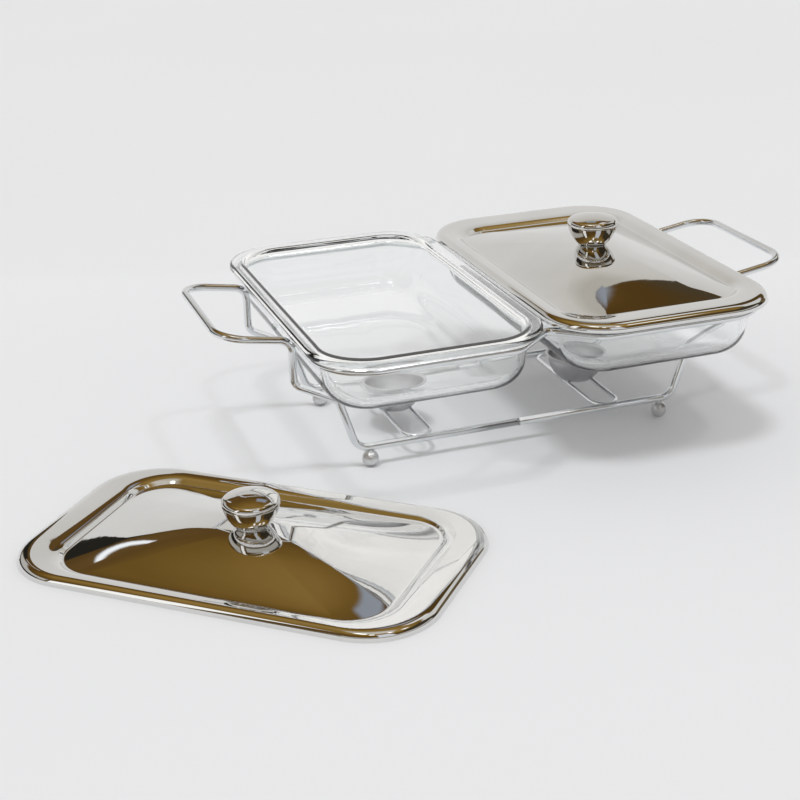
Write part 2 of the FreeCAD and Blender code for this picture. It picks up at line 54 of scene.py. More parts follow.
WIRE = 2.5  # radii of the two wires
THIN_WIRE = 1.5
RAIL = 13.55  # heights of the base rails and of the rim loop
RIM = 93.0
ARM_Y = 56.0  # base rails, legs and handle arms
CUP_X = 69.0
FOOT_X = 106.0
DISH_X = 79.4

# Half width, half length and corner radius of rounded rectangles
DISH_BODY = (69.25, 120.35, 31.75)
LID_EDGE = (78.8, 131.0, 41.3)
WELL_BRINK = (66.79, 107.89, 29.6)
WELL_FOOT = (62.6, 103.7, 25.4)
DOME_FOOT = (61.39, 102.49, 24.2)
DOME_START = (59.11, 98.45, 23.5)
DOME_MIDDLE = (10.7, 12.7, 9.0)

# Heights above a lid's own bottom
LIP_TOP = 5.6
BRINK_HEIGHT = 4.5
WELL_FLOOR = 1.2
KNOB_SEAT = 15.0

SHEET = 0.8
LEVEL = 9.0  # half size of the level top under the knob


# ---------------------------------------------------------------- materials


def add(nodes, kind, **inputs):
    """A node with its settings, which are named set_, and its socket values."""
    node = nodes.new(kind)
    for name, content in inputs.items():
        if name.startswith("set_"):
            setattr(node, name[4:], content)
        else:
            node.inputs[name.replace("_", " ")].default_value = content
    return node


def new_material(name):
    material = bpy.data.materials.new(name)
    material.use_nodes = True
    tree = material.node_tree
    return material, tree.nodes, tree.links, tree.nodes["Principled BSDF"]


def ramp(nodes, links, source, stops):
    """A colour ramp on a source socket, with (position, colour) stops."""
    node = nodes.new("ShaderNodeValToRGB")
    elements = node.color_ramp.elements
    while len(elements) > 1:
        elements.remove(elements[-1])
    elements[0].position = stops[0][0]
    elements[0].color = (*stops[0][1], 1)
    for position, colour in stops[1:]:
        elements.new(position).color = (*colour, 1)
    links.new(source, node.inputs["Fac"])
    return node.outputs["Color"]


def spread(nodes, links, source, low, high):
    """A 0 to 1 source mapped to a range."""
    node = add(nodes, "ShaderNodeMapRange", To_Min=low, To_Max=high)
    links.new(source, node.inputs["Value"])
    return node.outputs["Result"]


def noise(nodes, links, vector, scale, detail=3.0, roughness=0.5):
    node = add(nodes, "ShaderNodeTexNoise", Scale=scale, Detail=detail, Roughness=roughness)
    links.new(vector, node.inputs["Vector"])
    return node.outputs["Fac"]


def stretched(nodes, links, source, scale):
    node = add(nodes, "ShaderNodeMapping", Scale=scale)
    links.new(source, node.inputs["Vector"])
    return node.outputs["Vector"]


def relief(nodes, links, height, strength, depth, shader):
    """A bump of a depth in millimetres on a shader."""
    bump = add(nodes, "ShaderNodeBump", Strength=strength, Distance=depth * MM)
    links.new(height, bump.inputs["Height"])
    links.new(bump.outputs["Normal"], shader.inputs["Normal"])


def metal(name, bright, dim, rough, grain, depth=0.006, stretch=(1, 1, 1)):
    """Bare or plated metal: slightly uneven colour, patchy roughness and a very fine relief."""
    material, nodes, links, shader = new_material(name)
    shader.inputs["Metallic"].default_value = 1.0
    place = nodes.new("ShaderNodeTexCoord").outputs["Object"]
    patches = noise(nodes, links, place, 28.0, 4.0)
    fine = noise(nodes, links, stretched(nodes, links, place, stretch), grain, 5.0, 0.6)
    links.new(ramp(nodes, links, patches, [(0.3, dim), (0.7, bright)]), shader.inputs["Base Color"])
    blend = add(nodes, "ShaderNodeMath", set_operation="MULTIPLY")
    links.new(patches, blend.inputs[0])
    links.new(fine, blend.inputs[1])
    links.new(spread(nodes, links, blend.outputs[0], *rough), shader.inputs["Roughness"])
    relief(nodes, links, fine, 0.35, depth, shader)
    return material


plated = metal("plated_wire", (0.82, 0.835, 0.85), (0.74, 0.755, 0.77), (0.10, 0.30), 900.0)
ball_steel = metal("ball_steel", (0.72, 0.72, 0.72), (0.62, 0.62, 0.62), (0.30, 0.55), 1300.0, 0.01)
lid_steel = metal("lid_steel", (0.80, 0.795, 0.785), (0.755, 0.75, 0.74), (0.015, 0.07), 420.0)
knob_steel = metal(
    "knob_steel", (0.78, 0.77, 0.755), (0.70, 0.69, 0.675), (0.03, 0.14), 1400.0, 0.01, (0.1, 0.1, 3.0))
cup_steel = metal(
    "cup_steel", (0.56, 0.56, 0.57), (0.46, 0.46, 0.47), (0.26, 0.5), 1500.0, 0.02, (0.15, 0.15, 4.0))
fixing_steel = metal("fixing_steel", (0.55, 0.55, 0.56), (0.42, 0.42, 0.43), (0.2, 0.5), 2500.0, 0.01)

# How much light the glass lets through to the floor, from face on to edge on
GLASS_CLEAR = [(0.0, (0.985, 0.99, 0.99)), (0.55, (0.96, 0.97, 0.97)), (1.0, (0.78, 0.80, 0.80))]


def make_glass():
    """Clear pressed glass: faint flow waves, a few dull patches and light shadows."""
    material, nodes, links, shader = new_material("dish_glass")
    shader.inputs["Base Color"].default_value = (0.985, 0.995, 0.995, 1)
    shader.inputs["Transmission Weight"].default_value = 1.0
    shader.inputs["IOR"].default_value = 1.48
    place = nodes.new("ShaderNodeTexCoord").outputs["Object"]
    dull = noise(nodes, links, place, 60.0, 4.0)
    links.new(spread(nodes, links, dull, 0.0, 0.02), shader.inputs["Roughness"])
    waves = noise(nodes, links, stretched(nodes, links, place, (1.0, 0.6, 1.4)), 26.0, 1.0)
    relief(nodes, links, waves, 0.25, 1.2, shader)
    clear = nodes.new("ShaderNodeBsdfTransparent")
    slant = add(nodes, "ShaderNodeLayerWeight", Blend=0.35)
    links.new(ramp(nodes, links, slant.outputs["Facing"], GLASS_CLEAR), clear.inputs["Color"])
    rays = nodes.new("ShaderNodeLightPath")
    either = add(nodes, "ShaderNodeMath", set_operation="MAXIMUM")
    links.new(rays.outputs["Is Shadow Ray"], either.inputs[0])
    links.new(rays.outputs["Is Diffuse Ray"], either.inputs[1])
    mix = nodes.new("ShaderNodeMixShader")
    links.new(either.outputs[0], mix.inputs["Fac"])
    links.new(shader.outputs["BSDF"], mix.inputs[1])
    links.new(clear.outputs["BSDF"], mix.inputs[2])
    links.new(mix.outputs["Shader"], nodes["Material Output"].inputs["Surface"])
    return material


glass = make_glass()


# ---------------------------------------------------------------- mesh helpers


def show(holder):
    """Put an object in the scene."""
    bpy.context.scene.collection.objects.link(holder)
    return holder


def make_piece(name, points, faces, material, body, node=None, slot=None, spot=None, turn=0.0):
    """A smooth mesh piece from points in millimetres about its own origin, set in the row frame."""
    mesh = bpy.data.meshes.new(name)
    at = Matrix.Translation(spot or Vector()) @ Matrix.Rotation(math.radians(turn), 4, "Z")
    mesh.from_pydata([at @ (Vector(point) * MM) for point in points], [], faces)
    work = bmesh.new()
    work.from_mesh(mesh)
    bmesh.ops.remove_doubles(work, verts=work.verts, dist=1e-7)
    bmesh.ops.recalc_face_normals(work, faces=work.faces)
    for face in work.faces:
        face.smooth = True
    work.to_mesh(mesh)
    work.free()
    mesh.materials.append(material)
    piece = show(bpy.data.objects.new(name, mesh))
    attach(piece, body)
    if node:
        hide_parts(node)
    return piece


def grown(size, by):
    """The half width, half length and corner radius of a rounded rectangle, larger by a margin."""
    return tuple(v + by for v in size)


def soften(keys):
    """A line through keys of (values, reach, steps), with each corner turned as an arc.

    The values are any numbers, with the width first and the height last, which set the angle.
    """
    line = []
    for index, (values, reach, steps) in enumerate(keys):
        if not reach or index in (0, len(keys) - 1):
            line.append(tuple(values))
            continue

        def toward(other):
            gap = math.hypot(other[0] - values[0], other[-1] - values[-1])
            return [v + (o - v) * reach / gap for v, o in zip(values, other)]

        start = toward(keys[index - 1][0])
        end = toward(keys[index + 1][0])
        first = Vector((values[0] - start[0], values[-1] - start[-1]))
        second = Vector((end[0] - values[0], end[-1] - values[-1]))
        weight = math.cos(first.angle(second) / 2)
        for step in range(steps + 1):
            t = step / steps
            a, b, c = (1 - t) ** 2, 2 * t * (1 - t) * weight, t * t
            line.append(tuple(
                (a * s + b * v + c * e) / (a + b + c) for s, v, e in zip(start, values, end)))
    return line


def rectangle_ring(half_width, half_length, radius, height, steps):
    """Points of a rounded rectangle at a height, anticlockwise."""
    ring = []
    for quarter, (across, along) in enumerate(((1, 1), (-1, 1), (-1, -1), (1, -1))):
        for step in range(steps + 1):
            turn = math.radians(90 * (quarter + step / steps))
            ring.append((
                across * (half_width - radius) + radius * math.cos(turn),
                along * (half_length - radius) + radius * math.sin(turn), height))
    return ring


def loft(rings, closed):
    """Faces between rings of the same number of points, as one tube or a closed ring of rings."""
    count = len(rings[0])
    points = [point for ring in rings for point in ring]
    faces = []
    for index in range(len(rings) if closed else len(rings) - 1):
        here = index * count
        there = (index + 1) % len(rings) * count
        for step in range(count):
            ahead = (step + 1) % count
            faces.append((here + step, here + ahead, there + ahead, there + step))
    return points, faces


def close_ends(points, faces, count):
    """Close the first and last ring of a tube whose rings have a number of points."""
    faces.append(tuple(reversed(range(count))))
    faces.append(tuple(range(len(points) - count, len(points))))


def full_turn(sides):
    return [2 * math.pi * side / sides for side in range(sides)]


def turned(outline, sides):
    """A part turned about its own axis from (radius, height) points. Ends on the axis are closed."""
    rings = [
        [(radius * math.cos(turn), radius * math.sin(turn), height) for turn in full_turn(sides)]
        for radius, height in outline]
    return loft(rings, False)


def arc(first, last, radius, hand, steps):
    """Points of an arc between two (across, up) points that swells to the right or left."""
    a, b = Vector(first), Vector(last)
    chord = b - a
    left = Vector((-chord.y, chord.x)).normalized()
    depth = math.sqrt(radius ** 2 - chord.length ** 2 / 4)
    centre = (a + b) / 2 + left * (depth if hand == "right" else -depth)
    start = math.atan2(a.y - centre.y, a.x - centre.x)
    sweep = math.atan2(b.y - centre.y, b.x - centre.x) - start
    sweep = (sweep + math.pi) % (2 * math.pi) - math.pi
    turns = [start + sweep * step / steps for step in range(steps + 1)]
    return [(centre.x + radius * math.cos(turn), centre.y + radius * math.sin(turn)) for turn in turns]


def round_bend(centre, radius, degrees):
    """Points of an arc about a (radius, height) centre, at angles from straight up."""
    turns = [math.radians(angle) for angle in degrees]
    return [(centre[0] + radius * math.sin(turn), centre[1] + radius * math.cos(turn)) for turn in turns]


def bent_path(corners, closed):
    """Points along straight runs joined by arcs of about 4 degrees a step, from (point, radius) corners."""
    count = len(corners)
    path = []
    for index, (corner, radius) in enumerate(corners):
        corner = Vector(corner)
        if not closed and index in (0, count - 1):
            path.append(corner)
            continue
        back = (Vector(corners[index - 1][0]) - corner).normalized()
        ahead = (Vector(corners[(index + 1) % count][0]) - corner).normalized()
        half_turn = (math.pi - back.angle(ahead)) / 2
        reach = radius * math.tan(half_turn)
        centre = corner + (back + ahead).normalized() * (radius / math.cos(half_turn))
        first = corner + back * reach - centre
        last = corner + ahead * reach - centre
        steps = max(4, round(math.degrees(2 * half_turn) / 4))
        for step in range(steps + 1):
            share = step / steps
            blend = first * math.sin((1 - share) * 2 * half_turn) + last * math.sin(share * 2 * half_turn)
            path.append(centre + blend / math.sin(2 * half_turn))
    return path


def tube(path, radius, sides, closed):
    """A round wire along a path. Its section is carried along without twist."""
    count = len(path)
    rings = []
    normal = UP if closed else None
    for index, point in enumerate(path):
        ahead = path[(index + 1) % count] if closed or index < count - 1 else point
        behind = path[index - 1] if closed or index else point
        way = (ahead - behind).normalized()
        if normal is None:
            normal = way.orthogonal().normalized()
        normal = (normal - way * normal.dot(way)).normalized()
        side = way.cross(normal)
        rings.append([
            point + (normal * math.cos(turn) + side * math.sin(turn)) * radius for turn in full_turn(sides)])
    points, faces = loft(rings, closed)
    if not closed:
        close_ends(points, faces, sides)
    return points, faces


# ---------------------------------------------------------------- stand: wires, feet and welds

rim_low, rim_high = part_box("rim_loop_wire")
STAND = Vector(((rim_low.x + rim_high.x) / 2, (rim_low.y + rim_high.y) / 2, 0))

# Half of the bent end wire as (across, height, bend): base rail, stepped leg, arm, handle
END_WIRE = [
    (0.025, RAIL, 0), (114.8, RAIL, 11.0), (126.4, 49.3, 8.0), (155.36, 64.4, 8.0),
    (155.36, 94.7, 9.0), (201.05, 102.0, 19.0),
]
CRADLE_HALF_WIDTH = 9.25
CRADLE_HALF_LENGTH = 51.95

# Outlines of turned parts are (radius, height) points from the bottom of the axis.
FOOT = [(0.0, 0.0), (1.2, 0.12)] + round_bend((0.0, 5.5), 5.5, range(160, 19, -7))
FOOT += [(1.75, 10.85), (1.6, 11.2), (1.7, 11.7), (0.9, 12.2), (0.0, 12.2)]


def rim_corners():
    """Corners of the rim loop, which dips to a V neck between the dishes at the front and rear."""
    wide, deep, radius = 151.65, 123.35, 34.75
    slope = math.radians(42.0)
    touch_x = DISH_X - DISH_BODY[0] + DISH_BODY[2] - radius * math.sin(slope)
    touch_y = DISH_BODY[1] - DISH_BODY[2] + radius * math.cos(slope)
    tip = touch_y - touch_x * math.tan(slope)
    base = touch_x + (deep - touch_y) / math.tan(slope)
    half = [
        ((wide, deep, RIM), radius), ((base, deep, RIM), 12.0), ((0, tip, RIM), 8.5),
        ((-base, deep, RIM), 12.0), ((-wide, deep, RIM), radius),
    ]
    return half + [((-x, -y, z), bend) for (x, y, z), bend in half]


def end_wire_corners(away):
    front = [((away * x, -ARM_Y, z), bend) for x, z, bend in END_WIRE]
    rear = [((away * x, ARM_Y, z), bend) for x, z, bend in reversed(END_WIRE)]
    return front + rear


def cradle_path(away):
    """A slot-shaped loop between the base rails."""
    path = []
    for end in (1, -1):
        for step in range(19):
            turn = math.radians(180 * step / 18) + (0 if end > 0 else math.pi)
            path.append(Vector((
                away * CUP_X + CRADLE_HALF_WIDTH * math.cos(turn),
                end * (CRADLE_HALF_LENGTH - CRADLE_HALF_WIDTH) + CRADLE_HALF_WIDTH * math.sin(turn), RAIL)))
    return path


def make_wire(name, path, radius, sides, closed, node):
    make_piece(name, *tube(path, radius, sides, closed), plated, "stand", node, "plated_wire", STAND)


make_wire("chromed_rim_loop", bent_path(rim_corners(), True), WIRE, 28, True, "rim_loop_wire")
for label, away in (("left", -1), ("right", 1)):
    make_wire(
        "chromed_%s_end_wire" % label, bent_path(end_wire_corners(away), False), WIRE, 28, False,
        label + "_end_wire")
    make_wire("chromed_%s_cradle" % label, cradle_path(away), THIN_WIRE, 20, True, label + "_cradle_wire")

for label, away in (("left", -1), ("right", 1)):
    for end, deep in (("front", -1), ("rear", 1)):
        spot = STAND + Vector((away * FOOT_X, deep * ARM_Y, 0)) * MM
        node = "ball_foot_%s_%s" % (end, label)
        make_piece("satin_" + node, *turned(FOOT, 32), ball_steel, "stand", node, "plated_wire", spot)

weld_points, weld_faces = [], []


def weld(spot, along, size):
    """Add a small melted bead at a spot: long along one way, lower across, with its size as half sizes."""
    base = len(weld_points)
    across = along.cross(UP).normalized()
    rows, sides = 6, 12
    for row in range(rows + 1):
        lift = math.pi * row / rows
        for turn in full_turn(sides):
            wobble = 1 + 0.10 * math.sin(3 * turn + spot[0]) + 0.06 * math.sin(5 * lift + spot[1])
            offset = along * (math.sin(lift) * math.cos(turn) * size[0])
            offset += across * (math.sin(lift) * math.sin(turn) * size[1])
            offset += UP * (math.cos(lift) * size[2])
            weld_points.append(Vector(spot) + offset * wobble)
    for row in range(rows):
        for side in range(sides):
            ahead = (side + 1) % sides
            low, high = base + row * sides, base + (row + 1) * sides
            weld_faces.append((low + side, low + ahead, high + ahead, high + side))


for away in (-1, 1):
    for deep in (-1, 1):
        weld((away * 153.7, deep * ARM_Y, 92.6), ALONG, (3.4, 1.0, 2.1))
        for reach in (-2.0, 2.0):
            weld((away * CUP_X + reach, deep * 52.6, RAIL), ACROSS, (3.0, 1.1, 1.2))
    for deep in (-1, 1):
        for reach in (-CRADLE_HALF_WIDTH, CRADLE_HALF_WIDTH):
            weld((away * CUP_X + reach, deep * 5.2, RAIL + 1.45), ALONG, (2.0, 1.1, 0.7))
for deep in (-1, 1):
    weld((0, deep * ARM_Y, RAIL), ALONG, (2.7, 0.9, 2.7))
make_piece("weld_beads", weld_points, weld_faces, plated, "stand", None, "plated_wire", STAND)


# ---------------------------------------------------------------- candle cups

CUP_BOTTOM = 15.1
CUP = [(0.0, 0.6), (8.6, 0.6), (9.2, 0.45), (9.8, 0.0), (11.4, 0.0), (11.85, 0.12)]
CUP += arc((12.2, 0.4), (20.5, 17.5), 26.0, "right", 16)
CUP += [(20.9, 17.75), (21.5, 17.6), (21.9, 17.85), (22.0, 18.3)]
CUP += [(21.75, 18.62), (21.2, 18.7), (20.4, 18.62), (19.9, 18.4)]
CUP += arc((19.7, 18.0), (11.6, 1.1), 25.2, "left", 16)[1:]
CUP += [(10.9, 0.8), (9.6, 0.9), (9.0, 1.4), (8.4, 1.5), (0.0, 1.5)]
for label, away in (("left", -1), ("right", 1)):
    spot = STAND + Vector((away * CUP_X, 0, CUP_BOTTOM)) * MM
    make_piece(
        "spun_%s_cup" % label, *turned(CUP, 64), cup_steel, "stand", label + "_candle_cup", "cup_steel", spot)


# ---------------------------------------------------------------- glass dishes

DRAFT = math.radians(8.0)  # lean of the walls
GLASS = 3.0
FLANGE = 5.0  # thickness of the flange, whose underside is at height 0 here
FLANGE_OUT = 8.25
DISH_BOTTOM = -34.8
DISH_FLOOR = -30.8


def dish_keys():
    """The dish's section as margins on its body, from the middle of the underside to that of the floor."""
    draft = math.tan(DRAFT)
    wall = GLASS / math.cos(DRAFT)
    turn = math.tan((math.pi / 2 - DRAFT) / 2)
    line = [
        (-40.0, DISH_BOTTOM, 0, 0), (DISH_BOTTOM * draft, DISH_BOTTOM, 17.5 * turn, 14),
        (0.0, 0.0, 1.3, 4), (FLANGE_OUT, 0.0, 2.0, 6), (FLANGE_OUT, FLANGE, 2.0, 6),
        (FLANGE * draft - wall, FLANGE, 3.0 * turn, 8),
        (DISH_FLOOR * draft - wall, DISH_FLOOR, 14.5 * turn, 14), (-40.0, DISH_FLOOR, 0, 0),
    ]
    return [((*grown(DISH_BODY, by), height), reach, steps) for by, height, reach, steps in line]


def make_dish(name, body, node):
    low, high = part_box(node)
    middle = (low + high) / 2
    line = soften(dish_keys())[1:-1]
    inner_first, inner_last = [(*grown(end[:3], -1.5), end[3]) for end in (line[0], line[-1])]
    rings = [rectangle_ring(*values, 14) for values in [inner_first] + line + [inner_last]]
    points, faces = loft(rings, False)
    close_ends(points, faces, len(rings[0]))
    spot = Vector((middle.x, middle.y, high.z - FLANGE * MM))
    make_piece(name, points, faces, glass, body, node, "dish_glass", spot)


make_dish("pressed_left_dish", "left_dish", "left_glass_dish")
make_dish("pressed_right_dish", "right_dish", "right_glass_dish")


# ---------------------------------------------------------------- lids

# The first part of a piece's name, the body, which also starts the names of its nodes, and the turn
LIDS = (("right", "right_lid", 0.0), ("floor", "loose_lid", 48.8))
LID_STEPS = 16
DOME_START_RISE = 0.9
DOME_PERCENTS = (92, 87, 81, 74, 67, 60, 52, 44, 36, 28, 20, 13, 7, 3, 0)
HOLE_RINGS = ((9.0, 9.6, 8.4), (4.0, 4.0, 4.0), (2.3, 2.3, 2.3))


def cushion(x, y):
    """Height of the dome above its foot: level under the knob, falling to both sides and both ends."""
    across = max(0.0, abs(x) - LEVEL) / (DOME_FOOT[0] - LEVEL)
    along = max(0.0, abs(y) - LEVEL) / (DOME_FOOT[1] - LEVEL)
    return (KNOB_SEAT - WELL_FLOOR) * max(0.0, 1 - across ** 1.5) * max(0.0, 1 - along ** 2)


def dome_ring(u, sunk, widened):
    """A ring of the dome at a share u of the way from its middle to its foot."""
    foot = grown(DOME_FOOT, widened)
    size = [middle + (end - middle) * u for middle, end in zip(DOME_MIDDLE, foot)]
    pairs = zip(rectangle_ring(*size, 0, LID_STEPS), rectangle_ring(*foot, 0, LID_STEPS))
    return [
        (x, y, WELL_FLOOR - sunk + cushion(x, y) - u ** 6 * cushion(edge_x, edge_y))
        for (x, y, _), (edge_x, edge_y, _) in pairs]


def lid_side(sunk, widened, lip, brink, foot, crease, brink_out=0.0, foot_out=0.0):
    """One side of the lid's sheet as rings from the lip to the screw hole. Its rim dips a little inward.

    lip, brink, foot and crease are how far each bend reaches, and the _out values move two of them.
    """
    edge = grown(LID_EDGE, -sunk)
    floor = WELL_FLOOR - sunk
    keys = [
        ((*grown(edge, 0.8), 0.0), 0, 0),
        ((*grown(edge, -1.8), LIP_TOP - sunk), lip, 10),
        ((*grown(WELL_BRINK, brink_out), BRINK_HEIGHT - sunk), brink, 7),
        ((*grown(WELL_FOOT, foot_out), floor), foot, 5),
        ((*grown(DOME_FOOT, widened), floor), crease, 5),
        ((*grown(DOME_START, widened), floor + DOME_START_RISE), 0, 0),
    ]
    first_dome_ring = dome_ring(0.955, sunk, widened)
    rings = []
    for values in soften(keys):
        ring = rectangle_ring(*values, LID_STEPS)
        if values[0] < 62.0 + widened:  # past the well's foot, the dome sets the height
            ring = [
                (x, y, floor + (z - floor) * (dome[2] - floor) / DOME_START_RISE)
                for (x, y, z), dome in zip(ring, first_dome_ring)]
        rings.append(ring)
    rings += [dome_ring(percent / 100, sunk, widened) for percent in DOME_PERCENTS]
    rings += [rectangle_ring(*size, KNOB_SEAT - sunk, LID_STEPS) for size in HOLE_RINGS]
    return rings


def make_lid(name, body, middle, bottom, turn):
    top = lid_side(0.0, 0.0, lip=3.2, brink=3.0, foot=0.5, crease=0.6)
    underside = lid_side(
        SHEET, 0.501, lip=2.4, brink=0.8, foot=1.6, crease=1.8, brink_out=0.501, foot_out=3.091)
    hem = [rectangle_ring(*grown(LID_EDGE, by), 0.0, LID_STEPS) for by in (0.15, 0.65)]
    points, faces = loft(top + underside[::-1] + hem, True)
    make_piece(
        name + "_pressing", points, faces, lid_steel, body, body + "_shell", "lid_steel",
        Vector((middle.x, middle.y, bottom)), turn)


for name, body, turn in LIDS:
    low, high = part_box(body + "_knob")
    make_lid(name, body, (low + high) / 2, low.z - KNOB_SEAT * MM, turn)


# ---------------------------------------------------------------- knobs and their fixings

KNOB = [(2.05, 2.0), (2.05, 0.0), (9.0, 0.0), (9.35, 0.1), (9.5, 0.4)]
KNOB += arc((9.62, 0.62), (17.05, 13.9), 27.0, "right", 20)
KNOB += [(17.22, 14.4), (17.3, 14.9), (17.3, 15.5)]
KNOB += round_bend((14.3, 16.08), 3.0, range(80, 19, -6))
KNOB += round_bend((0.0, 21.3 - 49.8), 49.8, (16.0, 13.0, 10.0, 7.0, 4.0, 2.0, 0.0))

WASHER_DROP = 1.6  # the washer's and the screw's lowest point below the knob's foot
WASHER = [(2.3, 0.1), (2.4, 0.0), (5.8, 0.0), (6.0, 0.15), (6.0, 0.65)]
WASHER += [(5.8, 0.8), (2.4, 0.8), (2.3, 0.7), (2.3, 0.1)]

SCREW_DROP = 4.0
THREAD_PITCH = 0.9
SCREW = [(0.0, 0.0), (3.1, 0.0)] + round_bend((3.1, 0.9), 0.9, (165, 150, 135, 120, 105, 90))
SCREW += [(4.0, 2.25), (3.85, 2.4), (2.0, 2.4)]
for thread in range(14):
    lift = thread * THREAD_PITCH
    SCREW += [(2.0, 2.6 + lift), (1.65, 2.95 + lift), (1.65, 3.1 + lift)]
SCREW += [(1.9, 15.2), (1.4, 15.5), (0.0, 15.5)]

BOX_FACES = ((3, 2, 1, 0), (4, 5, 6, 7), (0, 1, 5, 4), (1, 2, 6, 5), (2, 3, 7, 6), (3, 0, 4, 7))


def cut_cross(screw, head):
    """Sink a cross recess in the underside of a screw's head."""
    points, faces = [], []
    for wide, deep in ((0.55, 2.2), (2.2, 0.55)):
        base = len(points)
        for height, share in ((-1.0, 1.0), (1.5, 0.55)):
            for x, y in ((-1, -1), (1, -1), (1, 1), (-1, 1)):
                points.append(head + Vector((x * wide * share, y * deep * share, height)) * MM)
        faces += [tuple(base + i for i in face) for face in BOX_FACES]
    mesh = bpy.data.meshes.new("cross_cutter")
    mesh.from_pydata(points, [], faces)
    cutter = show(bpy.data.objects.new("cross_cutter", mesh))
    cut = screw.modifiers.new("cross", "BOOLEAN")
    cut.object = cutter
    cut.solver = "EXACT"
    cut.use_self = True
    screw_cut = screw.evaluated_get(bpy.context.evaluated_depsgraph_get())
    made = bpy.data.meshes.new_from_object(screw_cut)
    screw.modifiers.clear()
    screw.data = made
    bpy.data.objects.remove(cutter)


for name, body, _ in LIDS:
    low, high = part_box(body + "_knob")
    foot = Vector(((low.x + high.x) / 2, (low.y + high.y) / 2, low.z))
    head = foot - UP * SCREW_DROP * MM
    make_piece(
        name + "_turned_knob", *turned(KNOB, 72), knob_steel, body, body + "_knob", "knob_steel", foot)
    make_piece(
        name + "_plain_washer", *turned(WASHER, 40), fixing_steel, body, body + "_washer", "fixing_steel",
        foot - UP * WASHER_DROP * MM)
    screw = make_piece(
        name + "_cross_screw", *turned(SCREW, 32), fixing_steel, body, body + "_screw", "fixing_steel", head)
    cut_cross(screw, head)


# ---------------------------------------------------------------- floor and painted reflection card, in metres

NEAR_FLOOR, FAR_FLOOR = 0.9, 12.0

# The painted reflection card's edge as (right, up), and where it stands
CARD_EDGE = [
    (-0.75, -0.01), (-0.72, 0.10), (-0.44, 0.12), (-0.41, 0.13), (-0.38, 0.16), (-0.375, 0.22),
    (-0.368, 0.30), (-0.34, 0.315), (-0.28, 0.315), (-0.22, 0.315), (-0.18, 0.32), (-0.11, 0.335),
    (-0.05, 0.365), (0.0, 0.40), (0.05, 0.42), (0.10, 0.427), (0.12, 0.426), (0.14, 0.427),
    (0.16, 0.431), (0.183, 0.430), (0.197, 0.414), (0.211, 0.397), (0.225, 0.384), (0.239, 0.373),
    (0.266, 0.357), (0.287, 0.351), (0.303, 0.33), (0.312, 0.30), (0.33, 0.27), (0.36, 0.26),
    (0.60, 0.26), (0.70, -0.01),
]
CARD_AHEAD, CARD_ASIDE = Vector((0.3305, 0.9438, 0)), Vector((0.9438, -0.3305, 0))
CARD_REACH = 0.42
# Glow colours of the painted reflection card by height, from its foot to 0.4 m up: darker and browner towards
# the top
CARD_REFLECTION_SHADES = [
    (0.0, (0.80, 0.80, 0.79)), (0.55, (0.72, 0.715, 0.70)),
    (0.9, (0.63, 0.61, 0.57)), (1.0, (0.50, 0.48, 0.43)),
]


def stage_sheet(name, points, faces, material):
    mesh = bpy.data.meshes.new(name)
    mesh.from_pydata(points, [], faces)
    mesh.materials.append(material)
    sheet = show(bpy.data.objects.new(name, mesh))
    return sheet


def make_floor():
    """A pale table top. Mirrors see only the near part of it, as far as the paper sweep reaches."""
    material, nodes, links, shader = new_material("studio_floor")
    shader.inputs["Roughness"].default_value = 0.85
    shader.inputs["Specular IOR Level"].default_value = 0.2
    place = nodes.new("ShaderNodeTexCoord").outputs["Object"]
    cloud = noise(nodes, links, place, 1.3, 2.0)
    shades = ramp(nodes, links, cloud, [(0.3, (0.835, 0.84, 0.855)), (0.7, (0.85, 0.855, 0.87))])
    links.new(shades, shader.inputs["Base Color"])
    turns = [math.radians(angle) for angle in range(0, 360, 6)]
    near, far = [
        [(reach * math.cos(turn), reach * math.sin(turn), 0) for turn in turns]
        for reach in (NEAR_FLOOR, FAR_FLOOR)]
    count = len(near)
    stage_sheet("near_floor", near, [tuple(range(count))], material)
    ring = [(i, count + i, count + (i + 1) % count, (i + 1) % count) for i in range(count)]
    stage_sheet("far_floor", near + far, ring, material).visible_glossy = False


def make_sweep_reflection():
    """A glowing card seen in the mirrors alone: a painted reflection of the raised part of the paper sweep,
    its glow darker and browner towards the top.
    """
    material = bpy.data.materials.new("sweep_reflection_card")
    material.use_nodes = True
    nodes, links = material.node_tree.nodes, material.node_tree.links
    nodes.clear()
    # The card glows though it is no lamp: its emission paints the reflection
    glow = nodes.new("ShaderNodeEmission")
    split = nodes.new("ShaderNodeSeparateXYZ")
    links.new(nodes.new("ShaderNodeTexCoord").outputs["Object"], split.inputs[0])
    height = add(nodes, "ShaderNodeMapRange", From_Min=0.0, From_Max=0.4)
    links.new(split.outputs["Z"], height.inputs["Value"])
    links.new(ramp(nodes, links, height.outputs["Result"], CARD_REFLECTION_SHADES), glow.inputs["Color"])
    links.new(glow.outputs[0], nodes.new("ShaderNodeOutputMaterial").inputs["Surface"])
    points = [CARD_AHEAD * CARD_REACH + CARD_ASIDE * right + UP * up for right, up in CARD_EDGE]
    card = stage_sheet("sweep_reflection_card", points, [tuple(range(len(points)))], material)
    card.visible_camera = False
    card.visible_diffuse = False
    card.visible_transmission = False
    card.visible_shadow = False


make_floor()
make_sweep_reflection()


# ---------------------------------------------------------------- light

